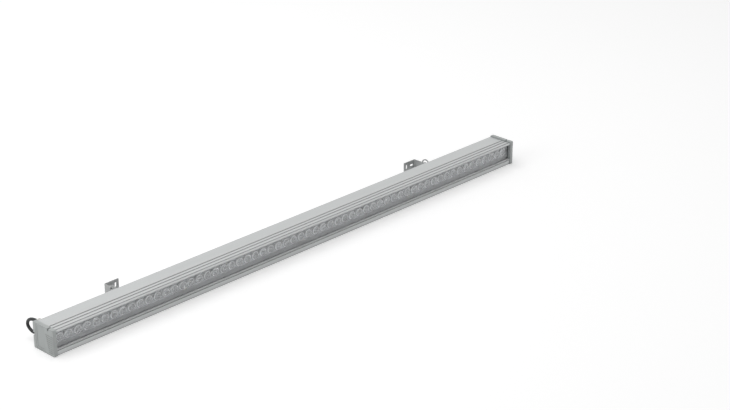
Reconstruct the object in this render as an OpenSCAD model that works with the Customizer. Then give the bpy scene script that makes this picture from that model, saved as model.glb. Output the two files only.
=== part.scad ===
// Linear wall washer light: an extruded bar with a row of lenses behind glass, a driver in its rear
// chamber, a short supply cable and two adjustable wall brackets in the slot along its back.
// X runs along the bar from the cable end, Y from the window to the brackets, Z up from the base.
// The origin is the centre of the base face.

/* [Housing] */
// Overall length over both end caps
bar_l = 1200; // [900:1:1500]
// Depth of the extrusion, window side to bracket side
body_d = 54.5; // [53:0.5:62]
// Height of the extrusion
body_h = 48; // [46:0.5:56]
// Thickness of the outer walls
wall_t = 2; // [1.6:0.1:2.4]
// Thickness of the web that carries the light boards
web_t = 3; // [2.6:0.1:4]
// Radius of the long outer corners
corner_r = 1.6; // [0.8:0.1:2.2]

/* [Window] */
// Height of the window's lower edge above the base
window_z = 12; // [11:0.5:13]
// Height of the flange above the window
flange_h = 3.5; // [3:0.1:4.5]
// Depth of the glass behind the front face
glass_recess = 5; // [4:0.1:6]
// Thickness of the front glass
glass_t = 4; // [3:0.1:5]
// Overlap of the glass in its groove, top and bottom
glass_lap = 1.6; // [1:0.1:1.8]
// Thickness of the silicone seal behind the glass
seal_t = 1; // [0.6:0.1:1.4]

/* [Outer grooves] */
// Width of the two grooves along the top
top_groove_w = 2.4; // [1.6:0.1:2.8]
// Depth of the two grooves along the top
top_groove_depth = 2.2; // [1.2:0.1:2.2]
// Distance of the rear top groove behind the front face
rear_groove_in = 21; // [20:0.1:22]
// Distance of the middle top groove behind the front face
mid_groove_in = 12.4; // [12:0.1:14]
// Distance of the fine edge groove behind the front face
edge_groove_in = 2.8; // [2.4:0.1:4]
// Width of the fine edge groove
edge_groove_w = 1.8; // [1.2:0.1:2]
// Depth of the fine edge groove
edge_groove_depth = 1.8; // [1:0.1:2]
// Width of the fine groove under the window lip
fine_groove_w = 1.4; // [0.8:0.1:1.6]
// Height of the fine groove under the window lip
lip_groove_z = 10; // [9.6:0.1:10.4]
// Depth of the fine groove under the window lip
lip_groove_depth = 1.8; // [1:0.1:2]
// Height of the step along the base's front edge
base_step_h = 3.8; // [2.6:0.1:4.2]
// Depth of the step along the base's front edge
base_step_in = 0.9; // [0.6:0.1:1.8]

/* [Rear slot] */
// Distance of the rear slot and of the bracket pivots below the top
slot_drop = 21.5; // [20.5:0.1:22.5]
// Height of the slot's mouth
slot_open = 5.4; // [5.2:0.1:6]
// Height of the slot's inner channel
slot_inner = 9.6; // [9.4:0.1:10.4]
// Thickness of the slot's lips
slot_lip = 2; // [1.6:0.1:2.6]
// Depth of the slot's inner channel
slot_depth = 4.5; // [4.4:0.1:5]
// Wall behind and beside the slot's inner channel
slot_wall = 1.6; // [1.2:0.1:1.8]
// Chamfer of the slot's mouth
slot_chamfer = 0.8; // [0.4:0.1:1]

/* [End caps] */
// Thickness of the end caps
cap_t = 7.5; // [6:0.1:9]
// Thickness of the rubber gasket under each cap
gasket_t = 1; // [0.6:0.1:1.6]
// Amount that a cap stands out past the front of the extrusion
cap_proud = 1.2; // [0.5:0.1:1.8]
// Amount that a cap stands out past the top of the extrusion
cap_rise = 2.2; // [0.8:0.1:3]
// Thickness of the inlaid end trim
trim_t = 1.4; // [1:0.1:1.8]
// Depth of the trim's seat in the cap
trim_seat = 2; // [1.9:0.1:2.2]
// Length of the trim along the depth of the light
trim_w = 26; // [25:0.5:28]
// Height of the trim
trim_h = 45.5; // [45:0.5:47]
// Number of grooves between the fine ribs of a cap
rib_count = 9; // [4:1:9]
// Spacing of the ribs
rib_pitch = 3.9; // [3:0.1:4]
// Length of the uppermost rib groove
rib_top_l = 20.5; // [16:0.5:21]
// Length of the lowest rib groove
rib_low_l = 13; // [10:0.5:16]

/* [Lights] */
// Number of light boards in the row
board_count = 4; // [4]
// Number of lenses on each board
lenses_per_board = 15; // [15]
// Free space between neighbouring lenses
lens_space = 1.1; // [0.8:0.1:2]
// Place of the web behind the front, as a share of the housing's depth
web_share = 0.406; // [0.4:0.002:0.412]
// Free space above and below a light board
board_space = 2; // [1.6:0.1:3]
// Thickness of a light board
board_t = 1.6; // [1.2:0.1:1.8]
// Thickness of the thermal pads
pad_t = 0.4; // [0.3:0.1:0.6]

/* [Driver] */
// Distance of the driver from the cable end
driver_in = 45; // [42:1:60]
// Distance of the driver's end before the hole for its feed wires
feed_lead = 12; // [10:0.5:20]
// Height of the driver's posts
post_h = 3; // [2:0.1:3.4]
// Diameter of the smoothing capacitors
capacitor_d = 10; // [8:0.1:10.4]
// Free space above the smoothing capacitors
capacitor_space = 0.9; // [0.8:0.1:3]

/* [Cable] */
// Diameter of the supply cable
cable_d = 5.8; // [5:0.1:6]
// Distance of the gland from the cable end of the bar
gland_in = 17.5; // [17:0.1:18.5]
// Distance of the gland below the top
gland_drop = 8.4; // [8:0.1:8.6]
// Width across the flats of the gland
gland_flats = 12; // [11.5:0.1:12.4]
// Diameter of the gland's thread
gland_thread_d = 9; // [8.6:0.1:9.2]
// Width of the smooth exit plate on the back
exit_plate_w = 16; // [15:0.5:18]
// Thickness of the exit plate
exit_plate_t = 1.2; // [1:0.1:1.6]

/* [Brackets] */
// Distance of each bracket's fold from its end of the bar
bracket_in = 191.5; // [150:0.5:300]
// Thickness of the bracket sheet
sheet_t = 2; // [1.6:0.1:2.4]
// Inner radius of the folds
fold_r = 1.5; // [1:0.1:2]
// Width of a wall bracket's plate along the bar
plate_w = 32.5; // [30:0.5:40]
// Height of a wall bracket
plate_h = 20; // [17:0.5:20]
// Distance of the wall face behind the housing
standoff = 48.5; // [46:0.5:60]
// Height of a foot's base plate
foot_h = 26; // [24:0.5:28]
// Distance of the pivot behind the housing
pivot_out = 18.5; // [18:0.1:20]
// Radius of the ear's two lobes
lobe_r = 10; // [9.5:0.1:10.5]
// Height of each lobe's centre above and below the pivot
lobe_rise = 7.2; // [7:0.1:7.6]
// Width of the rim round the ear's open arc windows
rim_w = 2.2; // [1.8:0.1:2.4]
// Height of the ear's open arc windows
arc_w = 4.8; // [4.4:0.1:5]
// Width of the wall plate's screw slots
screw_slot_w = 4.5; // [4:0.1:5]
// Length of the wall plate's screw slots, end to end
screw_slot_l = 10; // [8:0.1:10.5]
// Distance of the lengthwise slot from the fold
long_slot_in = 10.4; // [10:0.1:11]
// Distance of the upright slot from the fold
tall_slot_in = 25.4; // [24:0.1:26]
// Distance of the foot bolt from the fold
foot_bolt_in = 20; // [18:0.1:22]
// Diameter of the foot bolts and pivot bolts
bolt_d = 5; // [4.8:0.1:5]
// Width across the flats of the bolt heads and nuts
bolt_flats = 8; // [7.5:0.1:8.5]

/* [Hidden] */
$fn = 48;
// Overrun of every cut
over = 1;
// Play of a screw or cable in its hole, of a piece in its seat, and between sliding pieces
screw_play = 0.3;
seat_play = 0.3;
slide_gap = 0.3;
// Play of a pivot in its hole and of a thread in its nut
running_gap = 0.05;

// Planes of the housing
front_y = -body_d / 2;
rear_y = body_d / 2;
end_x = bar_l / 2;
body_x = end_x - cap_t - gasket_t;
body_l = 2 * body_x;
glass_y0 = front_y + glass_recess;
glass_y1 = glass_y0 + glass_t;
seal_y1 = glass_y1 + seal_t;
window_h = body_h - flange_h - window_z;
window_top = window_z + window_h;
slot_z = body_h - slot_drop;
gland_z = body_h - gland_drop;
lens_z = window_z + window_h / 2;
// Distance of the lens fronts behind the glass
lens_gap = 0.5;
lens_y0 = glass_y1 + lens_gap;
web_y0 = front_y + body_d * web_share;
web_y1 = web_y0 + web_t;
board_y1 = web_y0 - pad_t;
board_y0 = board_y1 - board_t;
board_h = window_h - 2 * board_space;
lens_depth = board_y0 - lens_y0;
slot_block_y = rear_y - slot_lip - slot_depth - slot_wall;

// Screw ports in the driver chamber
port_r = 1.2;
port_boss_r = 2.4;
port_edge = 3.2;
rear_port_in = 12.5;
port_low_z = wall_t + port_edge;
port_high_z = body_h - wall_t - port_edge;
port_web_y = web_y1 + port_edge;
port_slot_y = slot_block_y - port_boss_r;
ports = [
    [port_web_y, port_high_z],
    [port_web_y, port_low_z],
    [rear_y - rear_port_in, port_low_z],
    [port_slot_y, slot_z]
];

// Cap screws
cap_screw_l = 16;
cap_head_r = 2.4;
cap_head_h = 1.8;
cap_hole_r = port_r + screw_play;

// End trim
trim_border = 3.5;
trim_ridge = 0.4;
trim_y0 = front_y + rib_top_l + fine_groove_w;
trim_z0 = (body_h + cap_rise - trim_h) / 2;
rib_groove_depth = 0.5;
rib_groove_share = 0.5;
rib_low_z = 5;
cap_notch_w = 3;
cap_notch_depth = top_groove_depth + cap_rise;
slot_notch_depth = 3.6;
gasket_rim = 2;

// Lights
lens_count = board_count * lenses_per_board;
row_margin = 2;
lens_pitch = (body_l - 2 * row_margin) / lens_count;
lens_r = (lens_pitch - lens_space) / 2;
lens_foot_r = 3.8;
lens_rim = 1.6;
lens_pocket_r = 2.7;
lens_pocket_depth = 2.4;
lens_dimple_r = 3.4;
lens_dimple_depth = 1.4;
rail_h = 6;
rail_t = 1.6;
board_gap = 0.5;
board_l = lenses_per_board * lens_pitch - board_gap;
chip_w = 3.5;
chip_t = 0.6;
emitter_r = 1.4;
emitter_t = 0.2;
board_screw_r = 1.25;
board_screw_head_r = 2.6;
board_screw_head_h = 1.8;
board_screw_edge = 3;
board_screw_rise = board_h / 2 - board_screw_edge;
board_screw_bite = 1.7;
board_screw_end = 0.3;
plug_l = 10;
plug_t = 3;
plug_h = 3.6;
feed_hole_r = 2.4;
feed_plug_w = 6.4;
feed_plug_h = 5.6;
feed_lens_count = 13;
feed_x = board_x(1) + feed_lens_count * lens_pitch;
feed_z = lens_z + board_screw_rise;

// Driver
tray_t = 1.6;
tray_over = 3;
driver_t = 1.6;
driver_h = body_h - 2 * (port_low_z + port_boss_r + seat_play);
driver_x = -end_x + driver_in;
driver_z = body_h / 2;
driver_l = feed_x - feed_lead - driver_x;
driver_y0 = web_y1 + tray_t + post_h;
driver_y1 = driver_y0 + driver_t;
post_r = 3;
driver_screw_r = 1.25;
driver_screw_head_r = 2.6;
driver_screw_head_h = 2;
driver_screw_in = 5;
driver_screw_bite = 2.2;
capacitor_edge = 2.3;
capacitor_rise = capacitor_edge + capacitor_d / 2 - driver_h / 2;
capacitor_in_share = 0.152;
capacitor_in = driver_l * capacitor_in_share;
capacitor_pitch_share = 0.067;
capacitor_pitch = driver_l * capacitor_pitch_share;
capacitor_count = 3;
// Free heights over the driver up to the screw port behind the slot
port_room = slot_block_y - 2 * port_boss_r - driver_y1;
inductor_space = 2.4;
terminal_space = 0.9;
inductor_d = 11;
inductor_h = port_room - inductor_space;
capacitor_h = port_room - capacitor_space;
inductor_in_share = 0.43;
inductor_in = driver_l * inductor_in_share;
inductor_pitch_share = 0.19;
inductor_pitch = driver_l * inductor_pitch_share;
inductor_count = 3;
chip_size = [5, 1.6, 4];
chip_in_share = 0.52;
chip_in = driver_l * chip_in_share;
chip_pitch_share = 0.105;
chip_pitch = driver_l * chip_pitch_share;
chip_space = 0.4;
chip_drop = inductor_d / 2 + chip_space + chip_size.z;
chip_count = 4;
terminal_size = [10, port_room - terminal_space, 12];
terminal_in = 14;
wire_r = 0.8;
wire_gap = 2.6;
wire_steps = 10;
wire_bend = 9;

// Gland and cable
gland_x = -end_x + gland_in;
gland_hex_t = 3;
gland_neck_r = 4.7;
gland_neck_h = 2.6;
gland_nut_t = 5;
gland_nut_flats_t = 3.2;
gland_locknut_t = 2.5;
gland_locknut_flats = 11.4;
gland_thread_over = 1;
gland_bore_r = cable_d / 2 + screw_play;
gland_face_y = rear_y + exit_plate_t;
gland_neck_y = gland_face_y + gland_hex_t;
gland_mouth_y = gland_neck_y + gland_nut_t;
gland_mouth_r = gland_bore_r;
gland_wall = 0.8;
wire_end_gap = 0.4;
gland_inner_y = rear_y - wall_t - gland_locknut_t - gland_thread_over;
tail_inner_y = gland_inner_y - cable_d / 2;
exit_plate_z0 = 2.5;
exit_plate_h = body_h - 2 * exit_plate_z0;
exit_screw_r = 1.1;
exit_screw_head_r = 2;
exit_screw_head_h = 0.7;
exit_screw_z = 8;
exit_screw_in = 4;
cable_sides = 12;
// Route of the supply cable from the gland's mouth: along the bar, behind the mouth, above it
cable_route = [
    [0, 0, 0], [0, 5, 0], [0, 10.5, -0.5], [-0.5, 16, -1.5], [-0.5, 21.5, -3.5],
    [-0.5, 26.5, -7], [-0.5, 29.5, -11.5], [-0.5, 30, -16.5], [0, 27.5, -21.5],
    [0.5, 23, -25], [1, 18, -27], [1.5, 14, -26.5], [3.5, 11, -24.5], [8, 8.5, -22],
    [15, 6, -20.5], [23, 4.5, -20.5], [31, 3, -21], [39, 1.5, -21.5], [47, 0, -22.5],
    [54, -1.5, -24]
];
gland_mouth = [gland_x, gland_mouth_y, gland_z];
cable_points = [for (p = cable_route) gland_mouth + p];

// Brackets, given at the cable end; the other end is their mirror image
fold_x = -end_x + bracket_in;
friction_t = 0.8;
washer_t = 1;
washer_r = 5;
bolt_r = bolt_d / 2;
pivot_hole_r = bolt_r + running_gap;
foot_hole_r = bolt_r + screw_play;
bolt_head_h = 3.5;
pivot_nut_t = 5;
bolt_over = 1;
ear_x = fold_x - friction_t - sheet_t;
foot_w = plate_w + friction_t + sheet_t;
foot_y0 = rear_y + slide_gap;
foot_y1 = foot_y0 + sheet_t;
pivot_y = rear_y + pivot_out;
wall_y = rear_y + standoff;
nut_l = 14;
nut_t = 3.6;
nut_h = slot_inner - 2 * slide_gap;
nut_y1 = rear_y - slot_lip - slide_gap;
arc_outer_r = lobe_rise + lobe_r - rim_w;
arc_inner_r = arc_outer_r - arc_w;
bolt_shank_r = bolt_r - running_gap;

// Extrudes a section drawn as (depth, height) along the bar from x0
module along_bar(x0, length) {
    translate([x0, 0, 0])
        rotate([90, 0, 90])
            linear_extrude(length)
                children();
}

// Cylinder along X from x0
module rod_x(x0, y, z, length, r) {
    translate([x0, y, z])
        rotate([0, 90, 0])
            cylinder(h = length, r = r);
}

// Cylinder along Y from y0
module rod_y(x, y0, z, length, r) {
    translate([x, y0, z])
        rotate([-90, 0, 0])
            cylinder(h = length, r = r);
}

// Hexagonal prism along Y from y0, flats across the given width
module hex_y(x, y0, z, length, flats) {
    translate([x, y0, z])
        rotate([-90, 0, 0])
            cylinder(h = length, r = flats / sqrt(3), $fn = 6);
}

// Hexagonal prism along X from x0
module hex_x(x0, y, z, length, flats) {
    translate([x0, y, z])
        rotate([0, 90, 0])
            cylinder(h = length, r = flats / sqrt(3), $fn = 6);
}

// Rectangle from its low corner with round corners
module round_rect(low, size, r) {
    translate([low.x + r, low.y])
        square([size.x - 2 * r, size.y]);
    translate([low.x, low.y + r])
        square([size.x, size.y - 2 * r]);
    for (x = [low.x + r, low.x + size.x - r])
        for (y = [low.y + r, low.y + size.y - r])
            translate([x, y])
                circle(r = r);
}

// Plan of a folded sheet: one leg along +x, one along +y, the outer corner at the origin
module folded_plan(leg_x, leg_y) {
    outer_r = fold_r + sheet_t;
    translate([outer_r, 0])
        square([leg_x - outer_r, sheet_t]);
    translate([0, outer_r])
        square([sheet_t, leg_y - outer_r]);
    intersection() {
        translate([outer_r, outer_r])
            difference() {
                circle(r = outer_r);
                circle(r = fold_r);
            }
        square([outer_r, outer_r]);
    }
}

// Slot-shaped hole centred at the origin, its length along x
module slot_shape(length, w) {
    square([length - w, w], center = true);
    for (x = [-(length - w) / 2, (length - w) / 2])
        translate([x, 0])
            circle(r = w / 2);
}

function unit(v) = v / norm(v);
function heading(p, i) =
    i == 0 ? unit(p[1] - p[0])
    : i == len(p) - 1 ? unit(p[i] - p[i - 1])
    : unit(unit(p[i + 1] - p[i]) + unit(p[i] - p[i - 1]));
function across(v, t) = unit(v - (v * t) * t);
function frames(p, i, found) =
    i == len(p) ? found : frames(p, i + 1, concat(found, [across(found[i - 1], heading(p, i))]));
function tube_ring(p, i, side, r, sides) = [
    for (k = [0 : sides - 1])
        let (turn = 360 * k / sides, up = cross(heading(p, i), side))
            p[i] + r * (cos(turn) * side + sin(turn) * up)
];
function bezier(a, b, c, d, t) =
    pow(1 - t, 3) * a + 3 * pow(1 - t, 2) * t * b + 3 * (1 - t) * t * t * c + pow(t, 3) * d;

// Round tube swept along a list of points, with one ring at each point
module tube(points, r, sides) {
    last = len(points) - 1;
    start = across([1, 0, 0.3], heading(points, 0));
    side_at = frames(points, 1, [start]);
    corners = [for (i = [0 : last]) each tube_ring(points, i, side_at[i], r, sides)];
    walls = [
        for (i = [0 : last - 1])
            for (k = [0 : sides - 1])
                let (a = i * sides + k, b = i * sides + (k + 1) % sides)
                    each [[a, b, a + sides], [b, b + sides, a + sides]]
    ];
    near_end = [[for (k = [0 : sides - 1]) sides - 1 - k]];
    far_end = [[for (k = [0 : sides - 1]) last * sides + k]];
    polyhedron(points = corners, faces = concat(near_end, walls, far_end));
}

module body_outline() {
    round_rect([front_y, 0], [body_d, body_h], corner_r);
}

module window_section() {
    translate([front_y - over, window_z])
        square([glass_recess + over, window_h]);
    translate([glass_y0, window_z - glass_lap - seat_play])
        square([glass_t + seal_t, window_h + 2 * (glass_lap + seat_play)]);
    translate([seal_y1, window_z])
        square([web_y0 - seal_y1, window_h]);
}

module driver_section() {
    difference() {
        translate([web_y1, wall_t])
            square([rear_y - wall_t - web_y1, body_h - 2 * wall_t]);
        translate([slot_block_y, slot_z - slot_inner / 2 - slot_wall])
            square([body_d, slot_inner + 2 * slot_wall]);
        for (p = ports)
            translate(p)
                circle(r = port_boss_r);
        for (z = [0, port_high_z])
            translate([web_y1, z])
                square([port_edge, port_low_z]);
        translate([rear_y - rear_port_in - port_boss_r, 0])
            square([2 * port_boss_r, port_low_z]);
        translate([port_slot_y, slot_z - port_boss_r])
            square([body_d, 2 * port_boss_r]);
    }
}

module rear_slot_section() {
    mouth = slot_open / 2;
    translate([rear_y - slot_lip - over, slot_z - mouth])
        square([slot_lip + 2 * over, slot_open]);
    translate([rear_y - slot_lip - slot_depth, slot_z - slot_inner / 2])
        square([slot_depth, slot_inner]);
    polygon([
        [rear_y - slot_chamfer, slot_z - mouth],
        [rear_y, slot_z - mouth - slot_chamfer],
        [rear_y + over, slot_z - mouth - slot_chamfer],
        [rear_y + over, slot_z + mouth + slot_chamfer],
        [rear_y, slot_z + mouth + slot_chamfer],
        [rear_y - slot_chamfer, slot_z + mouth]
    ]);
}

module lower_hollow_section() {
    hollow_y = front_y + wall_t + lip_groove_depth;
    hollow_top = window_z - glass_lap - seat_play - wall_t;
    translate([hollow_y, wall_t])
        square([web_y0 - hollow_y, hollow_top - wall_t]);
}

module groove_section() {
    for (y = [rear_groove_in, mid_groove_in])
        translate([front_y + y - top_groove_w / 2, body_h - top_groove_depth])
            square([top_groove_w, top_groove_depth + over]);
    translate([front_y + edge_groove_in - edge_groove_w / 2, body_h - edge_groove_depth])
        square([edge_groove_w, edge_groove_depth + over]);
    translate([front_y - over, lip_groove_z - fine_groove_w / 2])
        square([lip_groove_depth + over, fine_groove_w]);
    translate([front_y - over, -over])
        square([base_step_in + over, base_step_h + over]);
}

module housing_section() {
    difference() {
        body_outline();
        window_section();
        driver_section();
        rear_slot_section();
        lower_hollow_section();
        groove_section();
        for (p = ports)
            translate(p)
                circle(r = port_r);
    }
}

function board_x(n) = -lens_pitch * lens_count / 2 + (n - 1) * lenses_per_board * lens_pitch;
function board_mid(n) = board_x(n) + lenses_per_board * lens_pitch / 2;
function lens_x(n, k) = board_x(n) + (k + 0.5) * lens_pitch;
board_screw_places = [
    for (n = [1 : board_count])
        for (k = [1, lenses_per_board - 1])
            for (rise = [-board_screw_rise, board_screw_rise])
                [board_x(n) + k * lens_pitch, lens_z + rise]
];
driver_screw_places = [
    for (x = [driver_screw_in, driver_l - driver_screw_in])
        for (rise = [-1, 1])
            [driver_x + x, driver_z + rise * (driver_h / 2 - driver_screw_in)]
];
exit_screw_x = [
    -body_x + exit_screw_in,
    -body_x + exit_plate_w - exit_screw_in
];

module housing() {
    color("silver")
        difference() {
            along_bar(-body_x, body_l)
                housing_section();
            for (p = board_screw_places)
                rod_y(p.x, web_y0 - over, p.y, board_screw_bite + board_screw_end + over, board_screw_r + running_gap);
            for (p = driver_screw_places)
                rod_y(p.x, web_y1 - driver_screw_bite, p.y, driver_screw_bite + over, driver_screw_r + running_gap);
            rod_y(feed_x, web_y0 - over, feed_z, web_t + 2 * over, feed_hole_r);
            rod_y(gland_x, rear_y - wall_t - over, gland_z, wall_t + 2 * over, gland_thread_d / 2 + running_gap);
            for (x = exit_screw_x)
                rod_y(x, rear_y - wall_t - over, exit_screw_z, wall_t + 2 * over, exit_screw_r + running_gap);
        }
}

module cap_outline() {
    round_rect(
        [front_y - cap_proud, 0],
        [body_d + cap_proud, body_h + cap_rise],
        corner_r
    );
}

// End cap at the cable end, its outer face on the end of the bar
module end_cap() {
    trim_low = [trim_y0, trim_z0];
    difference() {
        along_bar(-end_x, cap_t)
            difference() {
                cap_outline();
                translate([front_y + mid_groove_in - cap_notch_w / 2, body_h + cap_rise - cap_notch_depth])
                    square([cap_notch_w, cap_notch_depth + over]);
                translate([rear_y - slot_notch_depth, slot_z - slot_open / 2])
                    square([slot_notch_depth + over, slot_open]);
            }
        along_bar(-end_x - over, trim_seat + over)
            round_rect(trim_low, [trim_w, trim_h], corner_r);
        for (k = [0 : rib_count - 1])
            let (length = rib_low_l + (rib_top_l - rib_low_l) * k / (rib_count - 1))
                along_bar(-end_x - over, rib_groove_depth + over)
                    translate([front_y - cap_proud - over, rib_low_z + k * rib_pitch])
                        square([length + over, rib_pitch * rib_groove_share]);
        for (p = ports) {
            rod_x(-end_x, p.x, p.y, cap_t + over, cap_hole_r);
            rod_x(-end_x, p.x, p.y, trim_seat + cap_head_h + seat_play, cap_head_r + screw_play);
        }
    }
}

module end_gasket() {
    along_bar(-end_x + cap_t, gasket_t)
        difference() {
            body_outline();
            translate([rear_y - slot_notch_depth, slot_z - slot_open / 2])
                square([slot_notch_depth + over, slot_open]);
            translate([front_y + mid_groove_in - top_groove_w / 2, body_h - top_groove_depth])
                square([top_groove_w, top_groove_depth + over]);
            translate([front_y + base_step_in - body_d, -over])
                square([body_d, base_step_h + over]);
            translate([glass_y1, window_z])
                square([web_y0 - glass_y1, window_h]);
            gasket_opening();
            for (p = ports)
                translate(p)
                    circle(r = cap_hole_r);
        }
}

// Opening of a gasket over the driver chamber, clear of the screw ports
module gasket_opening() {
    low_y = web_y1 + gasket_rim;
    low_z = port_low_z + port_boss_r + gasket_rim;
    translate([low_y, low_z])
        square([port_slot_y - port_boss_r - gasket_rim - low_y, port_high_z - port_boss_r - gasket_rim - low_z]);
}

module end_trim() {
    low = [trim_y0 + seat_play, trim_z0 + seat_play];
    size = [trim_w - 2 * seat_play, trim_h - 2 * seat_play];
    border = [trim_border, trim_border];
    plate_x = -end_x + trim_seat - trim_t;
    along_bar(plate_x, trim_t)
        round_rect(low, size, corner_r - seat_play);
    along_bar(plate_x - trim_ridge, trim_ridge)
        difference() {
            round_rect(low, size, corner_r - seat_play);
            round_rect(low + border, size - 2 * border, corner_r - seat_play);
        }
}

module cap_screw_set() {
    head_x = -end_x + trim_seat + seat_play;
    for (p = ports) {
        rod_x(head_x, p.x, p.y, cap_head_h, cap_head_r);
        rod_x(head_x, p.x, p.y, cap_screw_l, port_r - running_gap);
    }
}

module end_cap_left() {
    color("darkgray")
        end_cap();
}

module end_cap_right() {
    color("darkgray")
        mirror([1, 0, 0])
            end_cap();
}

module end_gasket_left() {
    color("dimgray")
        end_gasket();
}

module end_gasket_right() {
    color("dimgray")
        mirror([1, 0, 0])
            end_gasket();
}

module end_trim_left() {
    color("gray")
        end_trim();
}

module end_trim_right() {
    color("gray")
        mirror([1, 0, 0])
            end_trim();
}

module end_cap_screws() {
    color("lightgray") {
        cap_screw_set();
        mirror([1, 0, 0])
            cap_screw_set();
    }
}

module front_glass() {
    color("lightcyan", 0.4)
        along_bar(-body_x, body_l)
            translate([glass_y0, window_z - glass_lap])
                square([glass_t, window_h + 2 * glass_lap]);
}

// Seal strip behind the glass in its groove, from height z0
module glass_seal(z0) {
    color("black")
        along_bar(-body_x, body_l)
            translate([glass_y1, z0])
                square([seal_t, glass_lap]);
}

module glass_seal_top() {
    glass_seal(window_top);
}

module glass_seal_bottom() {
    glass_seal(window_z - glass_lap);
}

module thermal_pads() {
    color("lightblue")
        for (n = [1 : board_count])
            difference() {
                translate([board_x(n) + board_gap / 2, board_y1, lens_z - board_h / 2])
                    cube([board_l, pad_t, board_h]);
                board_holes(n);
            }
}

// Holes through a light board and its pad
module board_holes(n) {
    for (p = board_screw_places)
        if (abs(p.x - board_mid(n)) < board_l / 2)
            rod_y(p.x, board_y0 - over, p.y, board_t + pad_t + 2 * over, board_screw_r + screw_play);
    if (n == 1)
        rod_y(feed_x, board_y0 - over, feed_z, board_t + pad_t + 2 * over, feed_hole_r);
}

module led_board(n) {
    color("white")
        difference() {
            translate([board_x(n) + board_gap / 2, board_y0, lens_z - board_h / 2])
                cube([board_l, board_t, board_h]);
            board_holes(n);
        }
}

module led_chips() {
    color("gold")
        for (n = [1 : board_count])
            for (k = [0 : lenses_per_board - 1])
                translate([lens_x(n, k), board_y0 - chip_t, lens_z]) {
                    translate([-chip_w / 2, 0, -chip_w / 2])
                        cube([chip_w, chip_t, chip_w]);
                    rod_y(0, -emitter_t, 0, chip_t, emitter_r);
                }
}

// One collimating lens at the origin, its foot on the board plane and its front towards -Y
module lens() {
    rotate([90, 0, 0])
        rotate_extrude()
            polygon([
                [lens_pocket_r, 0],
                [lens_foot_r, 0],
                [lens_r, lens_depth - lens_rim],
                [lens_r, lens_depth],
                [lens_dimple_r, lens_depth],
                [0, lens_depth - lens_dimple_depth],
                [0, lens_pocket_depth],
                [lens_pocket_r, lens_pocket_depth]
            ]);
}

module lens_strip(n) {
    color("lightcyan", 0.5) {
        for (k = [0 : lenses_per_board - 1])
            translate([lens_x(n, k), board_y0, lens_z])
                lens();
        for (k = [0 : lenses_per_board - 2])
            translate([lens_x(n, k) + lens_r - rail_t, lens_y0, lens_z - rail_h / 2])
                cube([lens_space + 2 * rail_t, rail_t, rail_h]);
    }
}

module board_screws() {
    board_screw_l = board_screw_head_h + board_t + pad_t + board_screw_bite;
    color("lightgray")
        for (p = board_screw_places) {
            rod_y(p.x, board_y0 - board_screw_head_h, p.y, board_screw_head_h, board_screw_head_r);
            rod_y(p.x, board_y0 - board_screw_head_h, p.y, board_screw_l, board_screw_r);
        }
}

// Link plugs across the joints of the light boards, and the plug of the feed wires
module board_plugs() {
    color("black") {
        for (n = [2 : board_count])
            translate([board_x(n) - plug_l / 2, board_y0 - plug_t, lens_z - board_h / 2])
                cube([plug_l, plug_t, plug_h]);
        translate([feed_x - feed_plug_w / 2, board_y0 - plug_t, feed_z - feed_plug_w / 2])
            cube([feed_plug_w, plug_t, feed_plug_h]);
    }
}

module driver_tray() {
    color("ivory")
        difference() {
            union() {
                translate([driver_x - tray_over, web_y1, driver_z - driver_h / 2])
                    cube([driver_l + 2 * tray_over, tray_t, driver_h]);
                for (p = driver_screw_places)
                    rod_y(p.x, web_y1, p.y, tray_t + post_h, post_r);
            }
            for (p = driver_screw_places)
                rod_y(p.x, web_y1 - over, p.y, tray_t + post_h + 2 * over, driver_screw_r + screw_play);
        }
}

module driver_board() {
    color("seagreen")
        difference() {
            translate([driver_x, driver_y0, driver_z - driver_h / 2])
                cube([driver_l, driver_t, driver_h]);
            for (p = driver_screw_places)
                rod_y(p.x, driver_y0 - over, p.y, driver_t + 2 * over, driver_screw_r + screw_play);
        }
}

module driver_capacitors() {
    color("midnightblue")
        for (k = [0 : capacitor_count - 1])
            rod_y(
                driver_x + capacitor_in + k * capacitor_pitch,
                driver_y1,
                driver_z + capacitor_rise,
                capacitor_h,
                capacitor_d / 2
            );
}

module driver_inductors() {
    color("dimgray")
        for (k = [0 : inductor_count - 1])
            rod_y(driver_x + inductor_in + k * inductor_pitch, driver_y1, driver_z, inductor_h, inductor_d / 2);
}

module driver_chips() {
    color("black")
        for (k = [0 : chip_count - 1])
            translate([driver_x + chip_in + k * chip_pitch - chip_size.x / 2, driver_y1, driver_z - chip_drop])
                cube(chip_size);
}

module driver_terminals() {
    color("green")
        for (x = [terminal_in, driver_l - terminal_in])
            translate([driver_x + x - terminal_size.x / 2, driver_y1, driver_z - terminal_size.z / 2])
                cube(terminal_size);
}

module driver_screws() {
    head_y = driver_y1;
    color("lightgray")
        for (p = driver_screw_places) {
            rod_y(p.x, head_y, p.y, driver_screw_head_h, driver_screw_head_r);
            rod_y(p.x, web_y1 - driver_screw_bite + seat_play, p.y, head_y - web_y1 + driver_screw_bite - seat_play, driver_screw_r);
        }
}

// Wire that leaves a along the vector out_a and meets b along the vector out_b
module wire(a, out_a, b, out_b) {
    points = [for (k = [0 : wire_steps]) bezier(a, a + out_a, b + out_b, b, k / wire_steps)];
    tube(points, wire_r, 8);
}

module led_feed_wires() {
    terminal_x = driver_x + driver_l - terminal_in + terminal_size.x / 2;
    color("red")
        for (side = [-1, 1])
            wire(
                [terminal_x, driver_y1 + terminal_size.y / 2, driver_z + side * wire_gap],
                [2 * wire_bend, 0, 0],
                [feed_x - side * wire_gap / 2, board_y0, feed_z],
                [0, 2 * wire_bend, 0]
            );
}

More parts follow.
